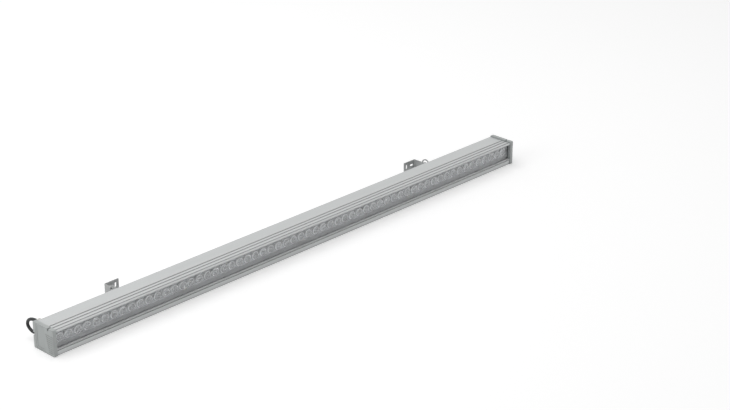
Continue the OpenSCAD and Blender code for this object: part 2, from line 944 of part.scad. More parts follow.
module supply_wires() {
    terminal_x = driver_x + terminal_in - terminal_size.x / 2;
    color("brown")
        for (side = [-1, 1])
            wire(
                [gland_x + side * wire_gap / 2, tail_inner_y - wire_end_gap, gland_z],
                [0, -wire_bend, 0],
                [terminal_x, driver_y1 + terminal_size.y / 2, driver_z + side * wire_gap],
                [-wire_bend, 0, 0]
            );
}

module cable_tail() {
    color([0.1, 0.1, 0.1])
        rod_y(gland_x, tail_inner_y, gland_z, gland_mouth_y - tail_inner_y, cable_d / 2);
}

module exit_plate() {
    color("whitesmoke")
        difference() {
            translate([-body_x, rear_y, exit_plate_z0])
                cube([exit_plate_w, exit_plate_t, exit_plate_h]);
            rod_y(gland_x, rear_y - over, gland_z, exit_plate_t + 2 * over, gland_thread_d / 2 + running_gap);
            for (x = exit_screw_x) {
                rod_y(x, rear_y - over, exit_screw_z, exit_plate_t + 2 * over, exit_screw_r + screw_play);
                rod_y(x, rear_y + exit_plate_t - exit_screw_head_h, exit_screw_z, exit_screw_head_h + over, exit_screw_head_r + running_gap);
            }
        }
}

module exit_plate_screws() {
    head_y = rear_y + exit_plate_t - exit_screw_head_h;
    color("lightgray")
        for (x = exit_screw_x) {
            rod_y(x, head_y, exit_screw_z, exit_screw_head_h, exit_screw_head_r);
            rod_y(x, rear_y - wall_t, exit_screw_z, head_y + exit_screw_head_h - rear_y + wall_t, exit_screw_r);
        }
}

module cable_gland() {
    color("lightgray")
        difference() {
            union() {
                hex_y(gland_x, gland_face_y, gland_z, gland_hex_t, gland_flats);
                rod_y(gland_x, gland_inner_y, gland_z, gland_neck_y - gland_inner_y, gland_thread_d / 2);
                rod_y(gland_x, gland_neck_y, gland_z, gland_neck_h, gland_neck_r);
            }
            rod_y(gland_x, gland_inner_y - over, gland_z, gland_mouth_y, gland_bore_r);
        }
}

// Dome nut: flats near the body, then a rounded nose with the cable's mouth
module gland_nut() {
    nose_t = gland_nut_t - gland_nut_flats_t;
    nose_r = gland_flats / 2;
    color("gainsboro")
        difference() {
            union() {
                hex_y(gland_x, gland_neck_y, gland_z, gland_nut_flats_t, gland_flats);
                translate([gland_x, gland_neck_y + gland_nut_flats_t, gland_z])
                    rotate([-90, 0, 0])
                        cylinder(h = nose_t, r1 = nose_r, r2 = nose_r - nose_t);
            }
            rod_y(gland_x, gland_neck_y - over, gland_z, gland_nut_t + 2 * over, gland_mouth_r);
            rod_y(gland_x, gland_neck_y - over, gland_z, gland_nut_flats_t + over + gland_wall, gland_neck_r + running_gap);
        }
}

module gland_seal() {
    seal_y = gland_neck_y + gland_neck_h;
    seal_l = gland_nut_flats_t + gland_wall - gland_neck_h;
    color("black")
        difference() {
            rod_y(gland_x, seal_y, gland_z, seal_l, gland_neck_r);
            rod_y(gland_x, seal_y - over, gland_z, seal_l + 2 * over, cable_d / 2 + running_gap);
        }
}

module gland_locknut() {
    nut_y = rear_y - wall_t - gland_locknut_t;
    color("lightgray")
        difference() {
            hex_y(gland_x, nut_y, gland_z, gland_locknut_t, gland_locknut_flats);
            rod_y(gland_x, nut_y - over, gland_z, gland_locknut_t + 2 * over, gland_thread_d / 2 + running_gap);
        }
}

module supply_cable() {
    color([0.08, 0.08, 0.08])
        tube(cable_points, cable_d / 2, cable_sides);
}

// Open arc window of the ear above the pivot: a ring round the pivot, kept inside the lobe's rim
module arc_window() {
    intersection() {
        difference() {
            circle(r = arc_outer_r);
            circle(r = arc_inner_r);
        }
        translate([0, lobe_rise])
            circle(r = lobe_r - rim_w);
        translate([-arc_outer_r, 0])
            square([2 * arc_outer_r, arc_outer_r]);
    }
}

module ear_outline() {
    translate([foot_y0 + fold_r + sheet_t, slot_z - foot_h / 2])
        square([pivot_out - slide_gap - fold_r - sheet_t, foot_h]);
    translate([pivot_y - lobe_r, slot_z - lobe_rise])
        square([2 * lobe_r, 2 * lobe_rise]);
    for (rise = [-lobe_rise, lobe_rise])
        translate([pivot_y, slot_z + rise])
            circle(r = lobe_r);
}

module foot_bracket() {
    color("darkgray")
        difference() {
            union() {
                translate([ear_x, foot_y0, slot_z - foot_h / 2])
                    linear_extrude(foot_h)
                        folded_plan(foot_w, 2 * (fold_r + sheet_t));
                along_bar(ear_x, sheet_t)
                    ear_outline();
            }
            along_bar(ear_x - over, sheet_t + 2 * over)
                translate([pivot_y, slot_z])
                    for (flip = [0, 1])
                        mirror([0, flip, 0])
                            arc_window();
            rod_x(ear_x - over, pivot_y, slot_z, sheet_t + 2 * over, pivot_hole_r);
            rod_y(fold_x + foot_bolt_in, foot_y0 - over, slot_z, sheet_t + 2 * over, foot_hole_r);
        }
}

module foot_bolt() {
    head_y = foot_y1 + washer_t;
    tip_y = nut_y1 - nut_t;
    color("lightgray") {
        hex_y(fold_x + foot_bolt_in, head_y, slot_z, bolt_head_h, bolt_flats);
        rod_y(fold_x + foot_bolt_in, tip_y, slot_z, head_y - tip_y, bolt_shank_r);
    }
}

module slot_nut() {
    color("gray")
        difference() {
            translate([fold_x + foot_bolt_in - nut_l / 2, nut_y1 - nut_t, slot_z - nut_h / 2])
                cube([nut_l, nut_t, nut_h]);
            rod_y(fold_x + foot_bolt_in, nut_y1 - nut_t - over, slot_z, nut_t + 2 * over, bolt_r);
        }
}

module foot_washer() {
    color("silver")
        difference() {
            rod_y(fold_x + foot_bolt_in, foot_y1, slot_z, washer_t, washer_r);
            rod_y(fold_x + foot_bolt_in, foot_y1 - over, slot_z, washer_t + 2 * over, foot_hole_r);
        }
}

module friction_washer() {
    color("white")
        difference() {
            rod_x(ear_x + sheet_t, pivot_y, slot_z, friction_t - running_gap, washer_r);
            rod_x(ear_x, pivot_y, slot_z, sheet_t + friction_t + over, foot_hole_r);
        }
}

module wall_bracket() {
    color("darkgray")
        difference() {
            union() {
                translate([fold_x, wall_y, slot_z - plate_h / 2])
                    linear_extrude(plate_h)
                        mirror([0, 1, 0])
                            folded_plan(plate_w, 2 * (fold_r + sheet_t));
                along_bar(fold_x, sheet_t) {
                    translate([pivot_y, slot_z - plate_h / 2])
                        square([standoff - pivot_out - fold_r - sheet_t, plate_h]);
                    translate([pivot_y, slot_z])
                        circle(r = plate_h / 2);
                }
            }
            rod_x(fold_x - over, pivot_y, slot_z, sheet_t + 2 * over, pivot_hole_r);
            translate([fold_x, wall_y + over, slot_z])
                rotate([90, 0, 0])
                    linear_extrude(sheet_t + 2 * over) {
                        translate([long_slot_in, 0])
                            slot_shape(screw_slot_l, screw_slot_w);
                        translate([tall_slot_in, 0])
                            rotate(90)
                                slot_shape(screw_slot_l, screw_slot_w);
                    }
        }
}

module pivot_bolt() {
    head_x = ear_x - washer_t - bolt_head_h;
    tip_x = fold_x + sheet_t + running_gap + washer_t + pivot_nut_t + bolt_over;
    color("lightgray") {
        hex_x(head_x, pivot_y, slot_z, bolt_head_h, bolt_flats);
        rod_x(head_x, pivot_y, slot_z, tip_x - head_x, bolt_shank_r);
    }
}

module pivot_washers() {
    color("silver")
        for (x = [ear_x - washer_t, fold_x + sheet_t + running_gap])
            difference() {
                rod_x(x, pivot_y, slot_z, washer_t, washer_r);
                rod_x(x - over, pivot_y, slot_z, washer_t + 2 * over, foot_hole_r);
            }
}

module pivot_nut() {
    nut_x = fold_x + sheet_t + running_gap + washer_t;
    color("lightgray")
        difference() {
            hex_x(nut_x, pivot_y, slot_z, pivot_nut_t, bolt_flats);
            rod_x(nut_x - over, pivot_y, slot_z, pivot_nut_t + 2 * over, bolt_r);
        }
}

housing();
end_cap_left();
end_cap_right();
end_gasket_left();
end_gasket_right();
end_cap_screws();
end_trim_left();
end_trim_right();
front_glass();
glass_seal_top();
glass_seal_bottom();
thermal_pads();
led_board(1);  // led_board_1
led_board(2);  // led_board_2
led_board(3);  // led_board_3
led_board(4);  // led_board_4
led_chips();
lens_strip(1);  // lens_strip_1
lens_strip(2);  // lens_strip_2
lens_strip(3);  // lens_strip_3
lens_strip(4);  // lens_strip_4
board_screws();
board_plugs();
driver_tray();
driver_board();
driver_capacitors();
driver_inductors();
driver_chips();
driver_terminals();
driver_screws();
led_feed_wires();
supply_wires();
cable_tail();
exit_plate();
exit_plate_screws();
cable_gland();
gland_seal();
gland_nut();
gland_locknut();
supply_cable();
foot_bracket();  // foot_bracket_left
foot_bolt();  // foot_bolt_left
slot_nut();  // slot_nut_left
foot_washer();  // foot_washer_left
friction_washer();  // friction_washer_left
wall_bracket();  // wall_bracket_left
pivot_bolt();  // pivot_bolt_left
pivot_washers();  // pivot_washers_left
pivot_nut();  // pivot_nut_left
mirror([1, 0, 0]) foot_bracket();  // foot_bracket_right
mirror([1, 0, 0]) foot_bolt();  // foot_bolt_right
mirror([1, 0, 0]) slot_nut();  // slot_nut_right
mirror([1, 0, 0]) foot_washer();  // foot_washer_right
mirror([1, 0, 0]) friction_washer();  // friction_washer_right
mirror([1, 0, 0]) wall_bracket();  // wall_bracket_right
mirror([1, 0, 0]) pivot_bolt();  // pivot_bolt_right
mirror([1, 0, 0]) pivot_washers();  // pivot_washers_right
mirror([1, 0, 0]) pivot_nut();  // pivot_nut_right
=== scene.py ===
"""Linear wall washer light: an aluminium bar with a row of lenses behind glass, a short supply
cable and two wall brackets. Laid out as an add-on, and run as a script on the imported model."""

import math

import bmesh
import bpy
from bpy.props import FloatProperty, FloatVectorProperty, IntProperty, PointerProperty
from mathutils import Matrix, Vector


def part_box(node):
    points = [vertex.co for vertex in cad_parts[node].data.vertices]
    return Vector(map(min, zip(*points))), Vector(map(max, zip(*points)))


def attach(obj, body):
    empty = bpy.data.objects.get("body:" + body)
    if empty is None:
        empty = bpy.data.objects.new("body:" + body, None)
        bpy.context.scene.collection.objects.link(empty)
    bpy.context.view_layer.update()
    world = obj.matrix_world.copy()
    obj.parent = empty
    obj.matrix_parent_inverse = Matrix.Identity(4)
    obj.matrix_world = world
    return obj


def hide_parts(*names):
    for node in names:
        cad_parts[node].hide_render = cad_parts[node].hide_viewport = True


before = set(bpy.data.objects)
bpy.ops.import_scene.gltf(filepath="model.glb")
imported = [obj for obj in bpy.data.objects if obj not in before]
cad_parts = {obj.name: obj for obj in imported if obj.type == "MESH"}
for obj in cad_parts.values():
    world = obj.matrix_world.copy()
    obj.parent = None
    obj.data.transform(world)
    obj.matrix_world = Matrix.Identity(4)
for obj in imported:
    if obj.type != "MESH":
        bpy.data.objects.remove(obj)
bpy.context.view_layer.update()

bl_info = {
    "name": "Wall washer light",
    "version": (1, 0, 0),
    "blender": (4, 5, 0),
    "location": "View3D > Sidebar > Washer",
    "description": "Builds the finishes and fine pieces of a linear wall washer light",
    "category": "Object",
}

SIDES = ("left", "right")
STRIPS = (1, 2, 3, 4)
LENSES_PER_STRIP = 15
# Sides all round of cable cores, emitters and screw shanks
CORE_SIDES = 12
SHARP_ANGLE = math.radians(35)

# A lens, as shares of its radius and depth: the dimpled front, the ground ring, the clear flange,
# the tapered side, the foot and the pocket over the emitter
LENS_PROFILE = (
    (0, 0.14), (0.12, 0.13), (0.25, 0.09), (0.36, 0.01), (0.4, 0), (0.72, 0), (0.84, 0.05),
    (0.88, 0.12), (1, 0.12), (1, 0.18), (0.93, 0.18), (0.8, 0.4), (0.62, 0.72), (0.41, 1),
    (0.29, 1), (0.27, 0.8), (0.16, 0.72), (0, 0.68),
)
# Where the ground ring lies on a lens, in shares of its radius, and its share of the depth
GROUND_RING = (0.7, 0.87, 0.1)

# Route of the supply cable from the gland's mouth, in metres, as in the part's source
CABLE_ROUTE = [
    (0, 0, 0), (0, 0.005, 0), (0, 0.0105, -0.0005), (-0.0005, 0.016, -0.0015),
    (-0.0005, 0.0215, -0.0035), (-0.0005, 0.0265, -0.007), (-0.0005, 0.0295, -0.0115),
    (-0.0005, 0.03, -0.0165), (0, 0.0275, -0.0215), (0.0005, 0.023, -0.025),
    (0.001, 0.018, -0.027), (0.0015, 0.014, -0.0265), (0.0035, 0.011, -0.0245),
    (0.008, 0.0085, -0.022), (0.015, 0.006, -0.0205), (0.023, 0.0045, -0.0205),
    (0.031, 0.003, -0.021), (0.039, 0.0015, -0.0215), (0.047, 0, -0.0225),
    (0.054, -0.0015, -0.024),
]


def linear(code):
    """An sRGB hex colour as linear red, green, blue and alpha."""
    parts = [int(code[i : i + 2], 16) / 255 for i in (0, 2, 4)]
    straight = [c / 12.92 if c <= 0.04045 else ((c + 0.055) / 1.055) ** 2.4 for c in parts]
    return (*straight, 1.0)


def colour_value(label, words, code):
    return FloatVectorProperty(
        name=label, description=words, default=linear(code), size=4, min=0, max=1, subtype="COLOR"
    )


def length_value(label, words, metres, low=0.0):
    return FloatProperty(
        name=label, description=words, default=metres, min=low, max=1.0, unit="LENGTH", precision=5
    )


class WasherSizes(bpy.types.PropertyGroup):
    lens_sides: IntProperty(
        name="Lens sides", description="Sides of a lens all round", default=36, min=12, max=96
    )
    round_sides: IntProperty(
        name="Round sides", description="Sides of small round parts", default=24, min=12, max=64
    )
    edge_round: length_value("Edge rounding", "Radius that softens the metal's edges", 0.00035)
    thread_pitch: length_value("Thread pitch", "Pitch of the bracket bolts' thread", 0.0008, 0.0004)
    thread_depth: length_value("Thread depth", "Depth of the bracket bolts' thread", 0.0003)
    core_out: length_value("Core length", "Length of the cores outside the cut cable", 0.0006)
    cell_size: length_value("Lens cell", "Size of the cells pressed in a lens front", 0.0026, 0.0002)


class WasherColours(bpy.types.PropertyGroup):
    profile: colour_value("Profile", "Anodised aluminium of the long profile", "BEC0C0")
    caps: colour_value("Caps", "Cast aluminium of the end caps", "ABAFAE")
    trims: colour_value("Trims", "Brushed aluminium of the end trims", "A7ABAA")
    brackets: colour_value("Brackets", "Steel sheet of the brackets", "ADAFAF")
    bolts: colour_value("Bolts", "Zinc plating of bolts, washers and nuts", "B4B6B8")
    sheath: colour_value("Sheath", "Rubber sheath of the cable", "15181A")
    plate: colour_value("Exit plate", "Paint of the plate at the cable exit", "DADCDB")
    mask: colour_value("Light boards", "Solder mask of the light boards", "C4C8C9")
    # Painted light: near-white that lightens the faces inside the light chamber, which get little light
    chamber: colour_value("Light chamber", "White coat inside the light chamber", "FAFAFA")
    acrylic: colour_value("Lenses", "Tint of the acrylic lenses", "FBFCFD")
    glazing: colour_value("Glass", "Tint of the toughened glass", "FDFEFF")


class StageSettings(bpy.types.PropertyGroup):
    camera_place: FloatVectorProperty(
        name="Camera", description="Place of the camera", default=(-2.2652, -2.37245, 1.5212),
        size=3, unit="LENGTH",
    )
    camera_look: FloatVectorProperty(
        name="Look", description="Direction of view", default=(0.6578, 0.6373, -0.4015),
        size=3, subtype="DIRECTION",
    )
    focal_length: FloatProperty(
        name="Focal length", description="Lens of the camera, in millimetres", default=93.37, min=20
    )
    key_power: FloatProperty(
        name="Key light", description="Power of the overhead light", default=58, min=0, unit="POWER"
    )
    side_power: FloatProperty(
        name="Side light", description="Power of the light at the cable end", default=66, min=0,
        unit="POWER",
    )
    sky_level: FloatProperty(
        name="Sky level", description="Strength of the surrounding light", default=0.45, min=0
    )
    floor_glow: FloatProperty(
        name="Floor glow", description="Share that whitens the floor for the eye", default=0.3, min=0
    )
    floor: colour_value("Floor", "Pale studio floor", "F2F2F2")


# Node and material tools


def add_node(tree, kind, values=None, links=None, **settings):
    """Adds a shader node with its settings, input values and links."""
    node = tree.nodes.new(kind)
    for key, value in settings.items():
        setattr(node, key, value)
    for key, value in (values or {}).items():
        node.inputs[key].default_value = value
    for key, source in (links or {}).items():
        tree.links.new(source, node.inputs[key])
    return node


def surface(name, values, links_of):
    """A material with one Principled shader. links_of(tree, place) gives its linked inputs."""
    material = bpy.data.materials.get(name)
    if material:
        return material
    material = bpy.data.materials.new(name)
    material.use_nodes = True
    tree = material.node_tree
    tree.nodes.clear()
    place = add_node(tree, "ShaderNodeTexCoord").outputs["Object"]
    shader = add_node(tree, "ShaderNodeBsdfPrincipled", values, links_of(tree, place))
    add_node(tree, "ShaderNodeOutputMaterial", links={"Surface": shader.outputs["BSDF"]})
    return material


def grain(tree, place, scale, detail=4.0):
    """Noise on Object coordinates; scale gives the cells in one metre along each axis."""
    placed = add_node(tree, "ShaderNodeMapping", {"Scale": scale}, {"Vector": place})
    return add_node(
        tree, "ShaderNodeTexNoise", {"Scale": 1.0, "Detail": detail, "Roughness": 0.55},
        {"Vector": placed.outputs["Vector"]},
    ).outputs["Fac"]


def between(tree, factor, low, high):
    """Spreads a factor over the values low to high."""
    return add_node(
        tree, "ShaderNodeMapRange",
        {"From Min": 0.25, "From Max": 0.75, "To Min": low, "To Max": high}, {"Value": factor},
    ).outputs["Result"]


def tinted(tree, factor, colour, spread):
    """The colour, darker and lighter by the given share where the factor is low and high."""
    ramp = add_node(tree, "ShaderNodeValToRGB", links={"Fac": factor})
    ramp.color_ramp.elements[0].position = 0.3
    ramp.color_ramp.elements[1].position = 0.7
    ramp.color_ramp.elements[0].color = [c * (1 - spread) for c in colour[:3]] + [1]
    ramp.color_ramp.elements[1].color = [min(1, c * (1 + spread)) for c in colour[:3]] + [1]
    return ramp.outputs["Color"]


def relief(tree, height, depth, strength, under=None):
    """Bump of the given depth in metres, on an optional normal below it."""
    links = {"Height": height}
    if under:
        links["Normal"] = under
    return add_node(
        tree, "ShaderNodeBump", {"Strength": strength, "Distance": depth}, links
    ).outputs["Normal"]


def painted_shade(tree, colour, reach, depth):
    """The colour with painted shade: darker where nearby walls shade a groove or a seam."""
    shade = add_node(
        tree, "ShaderNodeAmbientOcclusion", {"Color": (1, 1, 1, 1), "Distance": reach}, samples=8
    ).outputs["AO"]
    level = add_node(
        tree, "ShaderNodeMapRange",
        {"From Min": 0.2, "From Max": 0.9, "To Min": 1 - depth, "To Max": 1.0}, {"Value": shade},
    ).outputs["Result"]
    return add_node(
        tree, "ShaderNodeVectorMath", links={0: colour, 1: level}, operation="MULTIPLY"
    ).outputs["Vector"]


def chamber_share(tree, place):
    """1 on faces inside the light chamber, where the materials paint light, and 0 elsewhere."""
    (low, high), (_, board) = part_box("front_glass"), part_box("led_board_1")
    cap_reach, lip_front, web_back = 0.0003, 0.0044, 0.002
    front, back = low.y - lip_front, board.y + web_back
    limits = (
        (0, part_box("end_cap_right")[0].x + cap_reach),
        ((front + back) / 2, (back - front) / 2),
        ((low.z + high.z) / 2, (high.z - low.z) / 2),
    )
    parts = add_node(tree, "ShaderNodeSeparateXYZ", links={"Vector": place}).outputs
    inside = [
        add_node(
            tree, "ShaderNodeMath", {1: middle, 2: half}, {0: part}, operation="COMPARE"
        ).outputs[0]
        for part, (middle, half) in zip(parts, limits)
    ]
    flat = add_node(
        tree, "ShaderNodeMath", links={0: inside[0], 1: inside[1]}, operation="MULTIPLY"
    )
    return add_node(
        tree, "ShaderNodeMath", links={0: flat.outputs[0], 1: inside[2]}, operation="MULTIPLY"
    ).outputs[0]


def mixed(tree, share, first, second):
    """The first colour, or the second where the share is 1."""
    node = add_node(
        tree, "ShaderNodeMix", {"B": second}, {"Factor": share, "A": first}, data_type="RGBA"
    )
    return node.outputs["Result"]


def soft_edges(tree, radius):
    return add_node(tree, "ShaderNodeBevel", {"Radius": radius}, samples=6).outputs["Normal"]


# Materials, each named for the real one and how its surface was made


def anodised_aluminium(colours, sizes):
    # Extruded, etched satin and clear anodised: a soft even sheen with faint die lines along the bar,
    # painted shade in the grooves, and painted light that makes the faces inside the light chamber matt
    # near-white
    def links(tree, place):
        die_lines = grain(tree, place, (3, 1400, 1400), 3)
        clouds = grain(tree, place, (9, 60, 60))
        # Painted shade: the colour darkens in the grooves and seams
        metal = painted_shade(tree, tinted(tree, clouds, colours.profile, 0.02), 0.003, 0.6)
        # Painted light: the faces inside the light chamber turn matt near-white, standing in for light
        # that hardly reaches them
        chamber = chamber_share(tree, place)
        metal_outside_chamber = add_node(
            tree, "ShaderNodeMath", {0: 1.0}, {1: chamber}, operation="SUBTRACT"
        ).outputs[0]
        return {
            "Base Color": mixed(tree, chamber, metal, tuple(colours.chamber)),
            "Metallic": metal_outside_chamber,
            "Roughness": between(tree, die_lines, 0.36, 0.46),
            "Normal": relief(tree, die_lines, 0.00002, 0.25, soft_edges(tree, sizes.edge_round)),
        }

    return surface("anodised_aluminium_extruded", {"IOR": 1.5}, links)


def cast_aluminium(colours, sizes):
    # Die-cast and powder coated: dull, with a fine orange-peel grain of about half a millimetre,
    # painted shade in the seams and ribs, and painted light: near-white where a cap closes the light
    # chamber
    def links(tree, place):
        peel = grain(tree, place, (1900, 1900, 1900), 2)
        clouds = grain(tree, place, (90, 90, 90))
        # Painted shade: the colour darkens in the seams and between the ribs
        coat = painted_shade(tree, tinted(tree, clouds, colours.caps, 0.04), 0.0025, 0.55)
        return {
            # Painted light: near-white inside the light chamber, standing in for light that hardly
            # reaches it
            "Base Color": mixed(tree, chamber_share(tree, place), coat, tuple(colours.chamber)),
            "Roughness": between(tree, peel, 0.42, 0.55),
            "Normal": relief(tree, peel, 0.00005, 0.4, soft_edges(tree, sizes.edge_round)),
        }

    return surface("aluminium_die_cast_coated", {"Metallic": 0.2}, links)


def brushed_aluminium(colours, sizes):
    # Stamped sheet, brushed upright: a drawn-out sheen across the fine lines, with painted shade in the
    # seams
    def links(tree, place):
        lines = grain(tree, place, (1500, 1500, 12), 3)
        return {
            # Painted shade: the colour darkens in the seams
            "Base Color": painted_shade(tree, tinted(tree, lines, colours.trims, 0.04), 0.0025, 0.55),
            "Roughness": between(tree, lines, 0.4, 0.52),
            "Normal": relief(tree, lines, 0.00003, 0.4, soft_edges(tree, sizes.edge_round)),
        }

    return surface("aluminium_sheet_brushed", {"Metallic": 0.35}, links)


def toughened_glass(colours):
    # Float glass with ground edges: clear, faintly uneven, with light wiping marks
    def links(tree, place):
        wiping = grain(tree, place, (14, 40, 45))
        return {
            "Roughness": between(tree, wiping, 0.0, 0.03),
            "Normal": relief(tree, wiping, 0.00001, 0.2),
        }

    return surface(
        "toughened_glass_float",
        {"Base Color": tuple(colours.glazing), "Transmission Weight": 1.0, "IOR": 1.58},
        links,
    )


def moulded_acrylic(colours, sizes):
    # Injection-moulded acrylic: clear, with small pressed cells that break up the light
    def links(tree, place):
        cells = add_node(
            tree, "ShaderNodeTexVoronoi", {"Scale": 1 / sizes.cell_size, "Randomness": 0.6},
            {"Vector": place}, feature="SMOOTH_F1",
        ).outputs["Distance"]
        return {
            "Roughness": between(tree, cells, 0.03, 0.1),
            "Normal": relief(tree, cells, 0.0012, 0.8),
        }

    return surface(
        "acrylic_lens_moulded",
        {"Base Color": tuple(colours.acrylic), "Transmission Weight": 0.7, "IOR": 1.49},
        links,
    )


def frosted_acrylic(colours):
    # The ground rim of a moulded lens: white and soft
    def links(tree, place):
        ground = grain(tree, place, (1500, 1500, 1500), 2)
        return {
            "Base Color": tinted(tree, ground, colours.acrylic, 0.06),
            "Roughness": between(tree, ground, 0.5, 0.7),
        }

    return surface("acrylic_rim_ground", {"Transmission Weight": 0.1, "IOR": 1.49}, links)


def silicone_rubber(name, code):
    # Extruded silicone: matt with a faint bloom
    def links(tree, place):
        bloom = grain(tree, place, (300, 300, 300))
        return {
            "Base Color": tinted(tree, bloom, linear(code), 0.2),
            "Roughness": between(tree, bloom, 0.6, 0.8),
            "Normal": relief(tree, bloom, 0.00004, 0.3),
        }

    return surface(name, {"IOR": 1.41}, links)


def rubber_sheath(colours):
    # Extruded rubber cable sheath: satin black with a fine drawn grain
    def links(tree, place):
        drawn = grain(tree, place, (900, 900, 900), 5)
        return {
            "Base Color": tinted(tree, drawn, colours.sheath, 0.15),
            "Roughness": between(tree, drawn, 0.38, 0.55),
            "Normal": relief(tree, drawn, 0.00005, 0.35),
        }

    return surface("rubber_sheath_extruded", {"IOR": 1.5}, links)


def steel_sheet(colours, sizes):
    # Stamped stainless sheet with a tumbled, finely mottled finish
    def links(tree, place):
        mottle = grain(tree, place, (500, 500, 500), 5)
        rolled = grain(tree, place, (60, 1100, 900), 3)
        return {
            "Base Color": tinted(tree, mottle, colours.brackets, 0.08),
            "Roughness": between(tree, rolled, 0.42, 0.58),
            "Normal": relief(tree, mottle, 0.00004, 0.35, soft_edges(tree, sizes.edge_round)),
        }

    return surface("stainless_sheet_tumbled", {"Metallic": 0.3}, links)


def zinc_plated_steel(colours):
    # Cold-headed and zinc plated: bright grey with slight clouding
    def links(tree, place):
        clouds = grain(tree, place, (420, 420, 420))
        return {
            "Base Color": tinted(tree, clouds, colours.bolts, 0.07),
            "Roughness": between(tree, clouds, 0.24, 0.38),
        }

    return surface("steel_zinc_plated", {"Metallic": 1.0}, links)


def nickel_plated_brass():
    # Turned brass, nickel plated: warm bright grey with fine turning marks
    def links(tree, place):
        turned = grain(tree, place, (160, 2600, 160), 3)
        return {
            "Base Color": tinted(tree, turned, linear("C4C3BE"), 0.05),
            "Roughness": between(tree, turned, 0.2, 0.32),
            "Normal": relief(tree, turned, 0.00002, 0.3),
        }

    return surface("brass_nickel_plated_turned", {"Metallic": 1.0}, links)


def enamelled_sheet(colours, sizes):
    # Stove-enamelled sheet: smooth and pale with a soft gloss
    def links(tree, place):
        flow = grain(tree, place, (260, 260, 260), 2)
        return {
            "Base Color": tinted(tree, flow, colours.plate, 0.02),
            "Roughness": between(tree, flow, 0.3, 0.4),
            "Normal": relief(tree, flow, 0.00003, 0.2, soft_edges(tree, sizes.edge_round)),
        }

    return surface("steel_sheet_enamelled", {"IOR": 1.5}, links)


def solder_mask(name, colour):
    # Printed solder mask over copper: satin, with the raised tracks just showing through
    def links(tree, place):
        tracks = add_node(
            tree, "ShaderNodeTexBrick",
            {"Color1": (1, 1, 1, 1), "Color2": (0.9, 0.9, 0.9, 1), "Mortar": (0.3, 0.3, 0.3, 1),
             "Scale": 1.0, "Mortar Size": 0.0004, "Brick Width": 0.0197, "Row Height": 0.0055},
            {"Vector": add_node(
                tree, "ShaderNodeMapping", {"Rotation": (math.pi / 2, 0, 0)}, {"Vector": place}
            ).outputs["Vector"]},
        ).outputs["Color"]
        clouds = grain(tree, place, (150, 150, 150))
        return {
            "Base Color": tinted(tree, tracks, colour, 0.06),
            "Roughness": between(tree, clouds, 0.35, 0.5),
            "Normal": relief(tree, tracks, 0.00003, 0.4),
        }

    return surface(name, {"IOR": 1.5}, links)


def plain_moulding(name, colour, roughness, cells):
    # Injection-moulded plastic, rubber or resin: even, with a fine spark-eroded grain
    def links(tree, place):
        specks = grain(tree, place, (cells, cells, cells), 3)
        return {
            "Base Color": tinted(tree, specks, colour, 0.06),
            "Roughness": between(tree, specks, roughness, roughness + 0.12),
            "Normal": relief(tree, specks, 0.00003, 0.3),
        }

    return surface(name, {"IOR": 1.5}, links)


def wound_ferrite():
    # Enamelled copper wire wound on a ferrite drum: fine bands round a dark core
    def links(tree, place):
        turns = add_node(
            tree, "ShaderNodeTexWave", {"Scale": 400.0, "Distortion": 0.4}, {"Vector": place},
            bands_direction="Y",
        ).outputs["Fac"]
        ramp = add_node(tree, "ShaderNodeValToRGB", links={"Fac": turns})
        ramp.color_ramp.elements[0].color = linear("2A2B2C")
        ramp.color_ramp.elements[1].color = linear("9A5A34")
        return {"Base Color": ramp.outputs["Color"], "Normal": relief(tree, turns, 0.0001, 0.5)}

    return surface("copper_wire_wound", {"Roughness": 0.35, "Metallic": 0.4}, links)


def phosphor_resin():
    # Cast silicone with yellow phosphor: soft, slightly grainy
    def links(tree, place):
        specks = grain(tree, place, (3000, 3000, 3000), 2)
        return {
            "Base Color": tinted(tree, specks, linear("D9C463"), 0.08),
            "Roughness": between(tree, specks, 0.35, 0.5),
        }

    return surface("phosphor_resin_cast", {"IOR": 1.41}, links)


def dress(node, material):
    """Gives a CAD node its material."""
    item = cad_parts[node]
    if not item.material_slots:
        item.data.materials.append(material)
    for holder in item.material_slots:
        holder.material = material


# Mesh tools


def new_piece(name, mesh_data, materials, body, stands_for=()):
    """Makes an object of the finished bmesh, its place in its mesh, that rides on a body."""
    mesh = bpy.data.meshes.new(name)
    mesh_data.to_mesh(mesh)
    mesh_data.free()
    for material in materials:
        mesh.materials.append(material)
    mesh.polygons.foreach_set("use_smooth", [True] * len(mesh.polygons))
    mesh.set_sharp_from_angle(angle=SHARP_ANGLE)
    item = bpy.data.objects.new(name, mesh)
    bpy.context.scene.collection.objects.link(item)
    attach(item, body)
    if stands_for:
        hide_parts(*stands_for)
    return item


def points_of(parts):
    """The points among the parts that an operator made."""
    return [part for part in parts if isinstance(part, bmesh.types.BMVert)]


def closed(shape, parts, rim):
    """Fills the loop of new edges whose ends all lie on the rim."""
    made = [part for part in parts if isinstance(part, bmesh.types.BMEdge)]
    edges = [edge for edge in made if all(v in rim for v in edge.verts)]
    bmesh.ops.contextual_create(shape, geom=edges)


